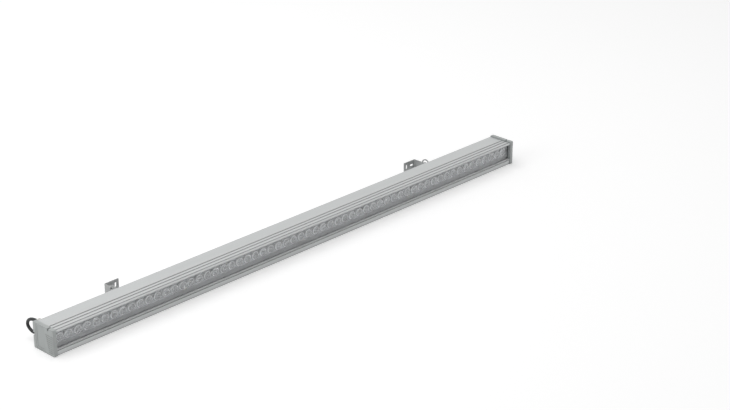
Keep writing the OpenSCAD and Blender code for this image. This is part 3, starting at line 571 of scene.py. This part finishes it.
def turned(shape, profile, sides, place, material=0):
    """Spins (radius, height) points about Z into a closed solid, then moves it to its place."""
    points = [shape.verts.new((radius, 0, height)) for radius, height in profile]
    edges = [shape.edges.new(pair) for pair in zip(points, points[1:])]
    if profile[0][0] > 0 and profile[-1][0] > 0:
        edges.append(shape.edges.new((points[-1], points[0])))
    made = bmesh.ops.spin(
        shape, geom=points + edges, cent=(0, 0, 0), axis=(0, 0, 1), angle=2 * math.pi,
        steps=sides, use_merge=True,
    )
    verts = set(points) | {v for e in edges if e.is_valid for v in e.verts}
    verts |= set(points_of(made["geom_last"]))
    # All the solid's points, reached along its edges from the profile
    reach = {v for v in verts if v.is_valid}
    todo = list(reach)
    while todo:
        for edge in todo.pop().link_edges:
            for vert in edge.verts:
                if vert not in reach:
                    reach.add(vert)
                    todo.append(vert)
    bmesh.ops.remove_doubles(shape, verts=list(reach), dist=1e-7)
    reach = [v for v in reach if v.is_valid]
    faces = list({f for v in reach for f in v.link_faces})
    bmesh.ops.recalc_face_normals(shape, faces=faces)
    for face in faces:
        face.material_index = material
    bmesh.ops.transform(shape, matrix=place, verts=reach)
    return reach


def hexagon(shape, flats, height, chamfer, place):
    """A chamfered hexagonal prism standing on Z = 0."""
    across = flats / math.sqrt(3)
    made = bmesh.ops.create_cone(
        shape, cap_ends=True, segments=6, radius1=across, radius2=across, depth=height,
        matrix=place @ Matrix.Translation((0, 0, height / 2)),
    )
    rims = {
        e for v in made["verts"] for e in v.link_edges
        if any(len(f.verts) == 6 for f in e.link_faces)
    }
    bmesh.ops.bevel(
        shape, geom=list(rims), offset=chamfer, affect="EDGES", segments=2, profile=0.5, material=-1
    )


def facing(origin, direction):
    """Matrix that puts Z along the direction, at the origin point."""
    return Matrix.Translation(origin) @ Vector(direction).to_track_quat("Z", "Y").to_matrix().to_4x4()


def cross_head(shape, radius, height, place, sides):
    """A screw head with a cross recess, its seat on Z = 0."""
    rim = bmesh.ops.create_circle(shape, segments=sides, radius=radius)["verts"]
    arm, wide = radius * 0.58, radius * 0.15
    outline = [
        (arm, -wide), (arm, wide), (wide, wide), (wide, arm), (-wide, arm), (-wide, wide),
        (-arm, wide), (-arm, -wide), (-wide, -wide), (-wide, -arm), (wide, -arm), (wide, -wide),
    ]
    cross = [shape.verts.new((x, y, 0)) for x, y in outline]
    cross_edges = [shape.edges.new((a, b)) for a, b in zip(cross, cross[1:] + cross[:1])]
    rim_edges = list({e for v in rim for e in v.link_edges})
    bmesh.ops.triangle_fill(shape, use_beauty=True, edges=rim_edges + cross_edges)
    sunk = bmesh.ops.extrude_edge_only(shape, edges=cross_edges)["geom"]
    floor = points_of(sunk)
    bmesh.ops.translate(shape, vec=(0, 0, -height * 0.6), verts=floor)
    closed(shape, sunk, floor)
    skirt = bmesh.ops.extrude_edge_only(shape, edges=rim_edges)["geom"]
    seat = points_of(skirt)
    bmesh.ops.translate(shape, vec=(0, 0, -height), verts=seat)
    closed(shape, skirt, seat)
    verts = set(rim) | set(cross) | set(floor) | set(seat)
    bmesh.ops.recalc_face_normals(shape, faces=list({f for v in verts for f in v.link_faces}))
    bmesh.ops.transform(shape, matrix=place @ Matrix.Translation((0, 0, height)), verts=list(verts))


def threaded(radius, pitch, depth, start, end):
    """Profile points of a thread's ridges between two heights."""
    count = max(1, int((end - start) / pitch))
    step = (end - start) / count
    points = []
    for turn in range(count):
        points += [(radius - depth, start + turn * step), (radius, start + (turn + 0.5) * step)]
    return points + [(radius - depth, end)]


# Operators


class WASHER_OT_camera(bpy.types.Operator):
    """Puts the camera at the photograph's viewing angle"""

    bl_idname = "washer.camera"
    bl_label = "Camera"

    def execute(self, context):
        stage = context.scene.washer_stage
        data = bpy.data.cameras.new("camera")
        data.lens = stage.focal_length
        data.sensor_width = 36
        data.clip_start = 0.05
        data.clip_end = 60
        camera = bpy.data.objects.new("camera", data)
        context.scene.collection.objects.link(camera)
        camera.location = stage.camera_place
        camera.rotation_mode = "QUATERNION"
        camera.rotation_quaternion = Vector(stage.camera_look).to_track_quat("-Z", "Y")
        context.scene.camera = camera
        return {"FINISHED"}


class WASHER_OT_cable(bpy.types.Operator):
    """Lays the supply cable on its route and shows the cores in its cut end"""

    bl_idname = "washer.cable"
    bl_label = "Supply cable"

    def execute(self, context):
        sizes, colours = context.scene.washer_sizes, context.scene.washer_colours
        tail_low, tail_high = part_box("cable_tail")
        mouth = Vector(((tail_low.x + tail_high.x) / 2, tail_high.y, (tail_low.z + tail_high.z) / 2))
        radius = (tail_high.x - tail_low.x) / 2
        curve = bpy.data.curves.new("supply_cable_line", "CURVE")
        curve.dimensions = "3D"
        curve.resolution_u = 6
        curve.bevel_depth = radius
        curve.bevel_resolution = 6
        curve.use_fill_caps = True
        line = curve.splines.new("BEZIER")
        line.bezier_points.add(len(CABLE_ROUTE) - 1)
        for point, place in zip(line.bezier_points, CABLE_ROUTE):
            point.co = mouth + Vector(place)
            point.handle_left_type = point.handle_right_type = "AUTO"
        curve.materials.append(rubber_sheath(colours))
        cable = bpy.data.objects.new("supply_cable_sheath", curve)
        context.scene.collection.objects.link(cable)
        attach(cable, "lamp")
        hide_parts("supply_cable")

        end, before = Vector(CABLE_ROUTE[-1]), Vector(CABLE_ROUTE[-2])
        way = (end - before).normalized()
        place = facing(mouth + end, way)
        core, out = radius * 0.3, sizes.core_out
        strand, jacket = core * 0.55, out * 0.6
        jacket_profile = [(0, -out), (core, -out), (core, jacket), (core * 0.6, jacket), (0, jacket)]
        strand_profile = [(0, 0), (strand, 0), (strand, out), (0, out)]
        cores = bmesh.new()
        for turn in range(3):
            spot = place @ Matrix.Rotation(turn * 2 * math.pi / 3, 4, "Z")
            spot = spot @ Matrix.Translation((radius * 0.42, 0, 0))
            turned(cores, jacket_profile, CORE_SIDES, spot, turn)
            turned(cores, strand_profile, CORE_SIDES, spot, 3)
        jackets = [
            plain_moulding("pvc_core_brown", linear("5A3320"), 0.4, 900),
            plain_moulding("pvc_core_blue", linear("2C5A8C"), 0.4, 900),
            plain_moulding("pvc_core_green", linear("8DA53A"), 0.4, 900),
            plain_moulding("copper_strand_cut", linear("C47B4A"), 0.3, 2500),
        ]
        ends = new_piece("cable_cores", cores, jackets, "lamp")
        return {"FINISHED"}


def seen_rays(tree):
    """1 for rays from the camera, from gloss and through glass, which see the pale background."""
    rays = add_node(tree, "ShaderNodeLightPath").outputs
    straight = add_node(
        tree, "ShaderNodeMath", links={0: rays["Is Camera Ray"], 1: rays["Is Glossy Ray"]},
        operation="ADD",
    )
    return add_node(
        tree, "ShaderNodeMath", links={0: straight.outputs[0], 1: rays["Is Transmission Ray"]},
        operation="ADD", use_clamp=True,
    ).outputs[0]


class WASHER_OT_stage(bpy.types.Operator):
    """Sets the pale floor, the surrounding light and the soft lamps"""

    bl_idname = "washer.stage"
    bl_label = "Stage"

    def execute(self, context):
        stage = context.scene.washer_stage
        sheet = bmesh.new()
        bmesh.ops.create_grid(sheet, x_segments=1, y_segments=1, size=14)
        mesh = bpy.data.meshes.new("floor")
        sheet.to_mesh(mesh)
        sheet.free()
        floor = bpy.data.objects.new("floor", mesh)
        context.scene.collection.objects.link(floor)

        paper = bpy.data.materials.new("studio_floor_matt")
        paper.use_nodes = True
        tree = paper.node_tree
        tree.nodes.clear()
        lift = add_node(
            tree, "ShaderNodeMath", {1: stage.floor_glow}, {0: seen_rays(tree)}, operation="MULTIPLY"
        )
        matt = add_node(tree, "ShaderNodeBsdfDiffuse", {"Color": tuple(stage.floor)})
        glow = add_node(tree, "ShaderNodeEmission", links={"Strength": lift.outputs[0]})
        both = add_node(
            tree, "ShaderNodeAddShader", links={0: matt.outputs["BSDF"], 1: glow.outputs["Emission"]}
        )
        add_node(tree, "ShaderNodeOutputMaterial", links={"Surface": both.outputs["Shader"]})
        mesh.materials.append(paper)

        world = bpy.data.worlds.new("studio")
        context.scene.world = world
        world.use_nodes = True
        tree = world.node_tree
        tree.nodes.clear()
        level = add_node(
            tree, "ShaderNodeMapRange", {"To Min": stage.sky_level, "To Max": 1.0},
            {"Value": seen_rays(tree)},
        )
        sky = add_node(
            tree, "ShaderNodeBackground", {"Color": (1, 1, 1, 1)}, {"Strength": level.outputs["Result"]}
        )
        add_node(tree, "ShaderNodeOutputWorld", links={"Surface": sky.outputs["Background"]})

        lamps = (
            ("overhead", (-0.5, 1.0, 3.4), (0, 0, 0), 3.6, stage.key_power),
            ("cable_end", (-6.0, 1.3, 2.8), (-0.3, 0, 0.02), 3.6, stage.side_power),
        )
        for name, place, target, width, power in lamps:
            data = bpy.data.lights.new(name, "AREA")
            data.shape = "SQUARE"
            data.size = width
            data.energy = power
            lamp = bpy.data.objects.new(name, data)
            context.scene.collection.objects.link(lamp)
            lamp.location = place
            lamp.rotation_mode = "QUATERNION"
            lamp.rotation_quaternion = (Vector(target) - Vector(place)).to_track_quat("-Z", "Y")
        context.scene.view_settings.view_transform = "Standard"
        return {"FINISHED"}


class WASHER_OT_profile(bpy.types.Operator):
    """Finishes the long profile, its end caps, gaskets and trims"""

    bl_idname = "washer.profile"
    bl_label = "Profile and caps"

    def execute(self, context):
        sizes, colours = context.scene.washer_sizes, context.scene.washer_colours
        dress("housing", anodised_aluminium(colours, sizes))
        for side in SIDES:
            dress("end_cap_" + side, cast_aluminium(colours, sizes))
            dress("end_trim_" + side, brushed_aluminium(colours, sizes))
            dress("end_gasket_" + side, silicone_rubber("silicone_pale_moulded", "B2B6B7"))
        dress("end_cap_screws", zinc_plated_steel(colours))
        return {"FINISHED"}


class WASHER_OT_glazing(bpy.types.Operator):
    """Finishes the front glass and its seals"""

    bl_idname = "washer.glazing"
    bl_label = "Glass and seals"

    def execute(self, context):
        dress("front_glass", toughened_glass(context.scene.washer_colours))
        dress("glass_seal_top", silicone_rubber("silicone_white_extruded", "E6E8E8"))
        dress("glass_seal_bottom", silicone_rubber("silicone_white_extruded", "E6E8E8"))
        return {"FINISHED"}


def lens_row(strip):
    """Front centres, radius, foot and pitch of a strip's lenses, read from its solid."""
    low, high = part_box("lens_strip_%d" % strip)
    radius = (high.z - low.z) / 2
    pitch = (high.x - low.x - 2 * radius) / (LENSES_PER_STRIP - 1)
    middle = (high.z + low.z) / 2
    centres = [
        Vector((low.x + radius + k * pitch, low.y, middle)) for k in range(LENSES_PER_STRIP)
    ]
    return centres, radius, high.y, pitch


class WASHER_OT_lenses(bpy.types.Operator):
    """Makes the strips of stepped clear lenses"""

    bl_idname = "washer.lenses"
    bl_label = "Lenses"

    def execute(self, context):
        sizes, colours = context.scene.washer_sizes, context.scene.washer_colours
        for strip in STRIPS:
            centres, radius, foot, pitch = lens_row(strip)
            depth = foot - centres[0].y
            profile = [(radius * out, depth * back) for out, back in LENS_PROFILE]
            inner, outer, sunk = GROUND_RING
            row = bmesh.new()
            first = turned(row, profile, sizes.lens_sides, facing(centres[0], (0, 1, 0)))
            faces = list({f for v in first for f in v.link_faces})
            for face in faces:
                off = face.calc_center_median() - centres[0]
                reach = math.hypot(off.x, off.z)
                if radius * inner < reach < radius * outer and off.y < depth * sunk:
                    face.material_index = 1
            for centre in centres[1:]:
                copy = bmesh.ops.duplicate(row, geom=faces)["geom"]
                bmesh.ops.translate(row, vec=centre - centres[0], verts=points_of(copy))
            bridge = Matrix.Diagonal((pitch - 1.93 * radius, depth * 0.12, radius * 0.6, 1))
            for centre in centres[:-1]:
                place = Matrix.Translation(centre + Vector((pitch / 2, depth * 0.1, 0)))
                bmesh.ops.create_cube(row, size=1, matrix=place @ bridge)
            new_piece(
                "lens_row_%d" % strip, row,
                [moulded_acrylic(colours, sizes), frosted_acrylic(colours)], "lamp",
                ["lens_strip_%d" % strip],
            )
        return {"FINISHED"}


class WASHER_OT_boards(bpy.types.Operator):
    """Makes the light emitters and screws, and finishes the light boards"""

    bl_idname = "washer.boards"
    bl_label = "Light boards"

    def execute(self, context):
        sizes, colours = context.scene.washer_sizes, context.scene.washer_colours
        packages, screws = bmesh.new(), bmesh.new()
        # The board screws: distance from the middle of the board, head and shank
        screw_rise, head_radius, head_tall = 0.01125, 0.0026, 0.0018
        shank_radius, shank = 0.00125, 0.0037
        for strip in STRIPS:
            dress("led_board_%d" % strip, solder_mask("solder_mask_grey_printed", colours.mask))
            centres, _, board, pitch = lens_row(strip)
            wide, thick = pitch * 0.178, pitch * 0.03
            for centre in centres:
                spot = Vector((centre.x, board - thick / 2, centre.z))
                block = Matrix.Translation(spot) @ Matrix.Diagonal((wide, thick, wide, 1))
                made = bmesh.ops.create_cube(packages, size=1, matrix=block)
                uprights = {
                    e for v in made["verts"] for e in v.link_edges
                    if abs(e.verts[0].co.y - e.verts[1].co.y) > thick / 2
                }
                bmesh.ops.bevel(
                    packages, geom=list(uprights), offset=wide * 0.08, affect="EDGES", segments=1,
                    profile=0.5, material=-1,
                )
                bulb = wide * 0.4
                turned(
                    packages,
                    [(0, -thick), (bulb, -thick), (bulb * 0.9, bulb * 0.12), (bulb * 0.5, bulb * 0.24),
                     (0, bulb * 0.28)],
                    CORE_SIDES, facing(Vector((centre.x, board - thick, centre.z)), (0, -1, 0)), 1,
                )
            for x in (centres[0].x + pitch / 2, centres[-1].x - pitch / 2):
                for rise in (-screw_rise, screw_rise):
                    place = facing(Vector((x, board, centres[0].z + rise)), (0, -1, 0))
                    cross_head(screws, head_radius, head_tall, place, sizes.round_sides)
                    turned(
                        screws, [(0, -shank), (shank_radius, -shank), (shank_radius, 0), (0, 0)],
                        CORE_SIDES, place,
                    )
        body = plain_moulding("ceramic_package_fired", linear("E9E8E2"), 0.4, 1500)
        new_piece(
            "light_emitters", packages, [body, phosphor_resin()], "lamp", ["led_chips"]
        )
        new_piece(
            "board_cross_screws", screws, [zinc_plated_steel(colours)], "lamp",
            ["board_screws"],
        )
        dress("thermal_pads", plain_moulding("silicone_pad_cast", linear("8FA6BD"), 0.6, 700))
        dress("board_plugs", plain_moulding("nylon_plug_moulded", linear("D8D6CE"), 0.4, 900))
        return {"FINISHED"}


class WASHER_OT_driver(bpy.types.Operator):
    """Finishes the driver and its wires in the rear chamber"""

    bl_idname = "washer.driver"
    bl_label = "Driver"

    def execute(self, context):
        colours = context.scene.washer_colours
        dress("driver_board", solder_mask("solder_mask_green_printed", linear("1F6B45")))
        dress("driver_inductors", wound_ferrite())
        dress("driver_screws", zinc_plated_steel(colours))
        # Node, material, colour, least roughness, and grain cells in one metre
        mouldings = (
            ("driver_tray", "nylon_tray_moulded", "D8D6CE", 0.4, 900),
            ("driver_capacitors", "capacitor_sleeve_shrunk", "232A4A", 0.25, 600),
            ("driver_chips", "epoxy_package_moulded", "1B1C1D", 0.5, 2200),
            ("driver_terminals", "polyamide_terminal_moulded", "3D7A55", 0.4, 900),
            ("led_feed_wires", "pvc_wire_red", "A8231D", 0.35, 1200),
            ("supply_wires", "pvc_wire_brown", "5A3320", 0.35, 1200),
        )
        for node, name, code, roughness, cells in mouldings:
            dress(node, plain_moulding(name, linear(code), roughness, cells))
        return {"FINISHED"}


class WASHER_OT_gland(bpy.types.Operator):
    """Makes the gland's dome nut and the exit plate's screws, and finishes the cable exit"""

    bl_idname = "washer.gland"
    bl_label = "Cable exit"

    def execute(self, context):
        sizes, colours = context.scene.washer_sizes, context.scene.washer_colours
        dress("exit_plate", enamelled_sheet(colours, sizes))
        dress("cable_gland", nickel_plated_brass())
        dress("gland_locknut", nickel_plated_brass())
        dress("gland_seal", silicone_rubber("silicone_black_moulded", "2B2D2E"))
        dress("cable_tail", rubber_sheath(colours))

        low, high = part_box("gland_nut")
        centre = Vector(((low.x + high.x) / 2, low.y, (low.z + high.z) / 2))
        flats, length = high.z - low.z, high.y - low.y
        place = facing(centre, (0, 1, 0)) @ Matrix.Rotation(math.pi / 2, 4, "Z")
        nut = bmesh.new()
        across, waist = flats / math.sqrt(3), length * 0.64
        bore, thread_bore = 0.0032, 0.00475
        made = bmesh.ops.create_circle(nut, segments=6, radius=across, matrix=place)["verts"]
        rim = list({e for v in made for e in v.link_edges})
        wall = bmesh.ops.extrude_edge_only(nut, edges=rim)["geom"]
        bmesh.ops.translate(nut, vec=(0, waist, 0), verts=points_of(wall))
        uprights = [
            e for e in nut.edges if abs(e.verts[0].co.y - e.verts[1].co.y) > waist / 2
        ]
        bmesh.ops.bevel(
            nut, geom=uprights, offset=across * 0.1, affect="EDGES", segments=3, profile=0.5, material=-1
        )
        dome, arc = flats / 2, []
        dome_steps = 6
        for step in range(1, dome_steps + 1):
            turn = step / dome_steps * math.pi / 2
            out, up = math.cos(turn), math.sin(turn)
            arc.append((bore + (dome - bore) * out, waist + (length - waist) * up))
        inside = [(bore, waist * 0.9), (thread_bore, waist * 0.9), (thread_bore, 0)]
        turned(
            nut, inside + [(dome, 0), (dome, waist)] + arc, sizes.round_sides * 2,
            facing(centre, (0, 1, 0)),
        )
        bands = [e for e in nut.edges if e.is_boundary]
        bmesh.ops.holes_fill(nut, edges=bands, sides=0)
        new_piece(
            "gland_dome_nut", nut, [nickel_plated_brass()], "lamp", ["gland_nut"]
        )

        low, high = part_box("exit_plate_screws")
        heads = bmesh.new()
        radius, middle = (high.z - low.z) / 2, (low.z + high.z) / 2
        thick, shank_radius, shank_sides = 0.0007, 0.0011, 16
        shank = low.y - high.y + thick
        for x in (low.x + radius, high.x - radius):
            place = facing(Vector((x, high.y - thick, middle)), (0, 1, 0))
            cross_head(heads, radius, thick, place, sizes.round_sides)
            turned(
                heads, [(0, shank), (shank_radius, shank), (shank_radius, 0), (0, 0)], shank_sides,
                place,
            )
        new_piece(
            "exit_cross_screws", heads, [zinc_plated_steel(colours)], "lamp",
            ["exit_plate_screws"],
        )
        return {"FINISHED"}


def bolt(shape, flats, head, radius, length, place, sizes):
    """A hexagon bolt: the head's top at the place, the threaded shank along Z."""
    hexagon(shape, flats, head, head * 0.08, place)
    # The plain neck under the head, where the thread starts, and the tapered tip
    neck, thread_start, tip = head + 0.0005, head + 0.0006, 0.0005
    ridges = threaded(radius, sizes.thread_pitch, sizes.thread_depth, thread_start, length - tip)
    profile = [(0, head * 0.5), (radius, head * 0.5), (radius, neck)] + ridges
    turned(shape, profile + [(radius * 0.75, length), (0, length)], sizes.round_sides, place)


class WASHER_OT_brackets(bpy.types.Operator):
    """Makes the bolts and lock nuts, and finishes the brackets"""

    bl_idname = "washer.brackets"
    bl_label = "Brackets"

    def execute(self, context):
        sizes, colours = context.scene.washer_sizes, context.scene.washer_colours
        sheet, plated = steel_sheet(colours, sizes), zinc_plated_steel(colours)
        nylon = plain_moulding("nylon_washer_cut", linear("DDDBD2"), 0.4, 900)
        # The M5 bolts, a little under their nominal radius, and the height of their heads
        radius, head = 0.00245, 0.0035
        bore = 0.0025
        sixth = Matrix.Rotation(math.pi / 6, 4, "Z")
        for side in SIDES:
            dress("foot_bracket_" + side, sheet)
            dress("wall_bracket_" + side, sheet)
            dress("slot_nut_" + side, plated)
            dress("foot_washer_" + side, plated)
            dress("pivot_washers_" + side, plated)
            dress("friction_washer_" + side, nylon)

            low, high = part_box("foot_bolt_" + side)
            middle, flats = (low + high) / 2, high.z - low.z
            shape = bmesh.new()
            bolt(
                shape, flats, head, radius, high.y - low.y,
                facing(Vector((middle.x, high.y, middle.z)), (0, -1, 0)), sizes,
            )
            new_piece(
                "slot_bolt_" + side, shape, [plated], side + "_foot",
                ["foot_bolt_" + side],
            )

            low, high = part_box("pivot_bolt_" + side)
            middle = (low + high) / 2
            way = 1 if side == "left" else -1
            start = low.x if side == "left" else high.x
            shape = bmesh.new()
            bolt(
                shape, high.y - low.y, head, radius, high.x - low.x,
                facing(Vector((start, middle.y, middle.z)), (way, 0, 0)) @ sixth, sizes,
            )
            new_piece(
                "tilt_bolt_" + side, shape, [plated], side + "_foot",
                ["pivot_bolt_" + side],
            )

            low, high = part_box("pivot_nut_" + side)
            middle, tall = (low + high) / 2, high.x - low.x
            start = low.x if side == "left" else high.x
            shape = bmesh.new()
            place = facing(Vector((start, middle.y, middle.z)), (way, 0, 0))
            flats = high.y - low.y
            across, waist = flats / 2, tall * 0.7
            hexagon(shape, flats, waist, tall * 0.06, place @ sixth)
            collar = [
                (bore, waist * 0.98), (across * 0.97, waist * 0.98), (across * 0.95, tall * 0.9),
                (across * 0.85, tall), (across * 0.78, tall), (across * 0.78, tall * 0.96),
                (bore, tall * 0.96),
            ]
            turned(shape, collar, sizes.round_sides, place)
            ring, under, over = across * 0.77, tall * 0.94, tall * 0.98
            turned(
                shape, [(bore, under), (ring, under), (ring, over), (bore, over)], sizes.round_sides,
                place, 1,
            )
            new_piece(
                "lock_nut_" + side, shape, [plated, nylon], side + "_foot",
                ["pivot_nut_" + side],
            )
        return {"FINISHED"}


PIECES = (
    WASHER_OT_camera,
    WASHER_OT_cable,
    WASHER_OT_stage,
    WASHER_OT_profile,
    WASHER_OT_glazing,
    WASHER_OT_lenses,
    WASHER_OT_boards,
    WASHER_OT_driver,
    WASHER_OT_gland,
    WASHER_OT_brackets,
)


class WASHER_PT_panel(bpy.types.Panel):
    """Lists the light's pieces, sizes and colours"""

    bl_label = "Wall washer light"
    bl_space_type = "VIEW_3D"
    bl_region_type = "UI"
    bl_category = "Washer"

    def draw(self, context):
        for piece in PIECES:
            self.layout.operator(piece.bl_idname)
        for settings in (
            context.scene.washer_sizes, context.scene.washer_colours, context.scene.washer_stage
        ):
            box = self.layout.box()
            for name in settings.bl_rna.properties.keys():
                if name not in ("rna_type", "name"):
                    box.prop(settings, name)


CLASSES = (WasherSizes, WasherColours, StageSettings, *PIECES, WASHER_PT_panel)


def register():
    for item in CLASSES:
        bpy.utils.register_class(item)
    bpy.types.Scene.washer_sizes = PointerProperty(type=WasherSizes)
    bpy.types.Scene.washer_colours = PointerProperty(type=WasherColours)
    bpy.types.Scene.washer_stage = PointerProperty(type=StageSettings)


def unregister():
    del bpy.types.Scene.washer_stage
    del bpy.types.Scene.washer_colours
    del bpy.types.Scene.washer_sizes
    for item in reversed(CLASSES):
        bpy.utils.unregister_class(item)


def main():
    register()
    bpy.ops.washer.camera()
    bpy.ops.washer.cable()
    bpy.ops.washer.stage()
    bpy.ops.washer.profile()
    bpy.ops.washer.glazing()
    bpy.ops.washer.lenses()
    bpy.ops.washer.boards()
    bpy.ops.washer.driver()
    bpy.ops.washer.gland()
    bpy.ops.washer.brackets()


if __name__ == "__main__":
    main()
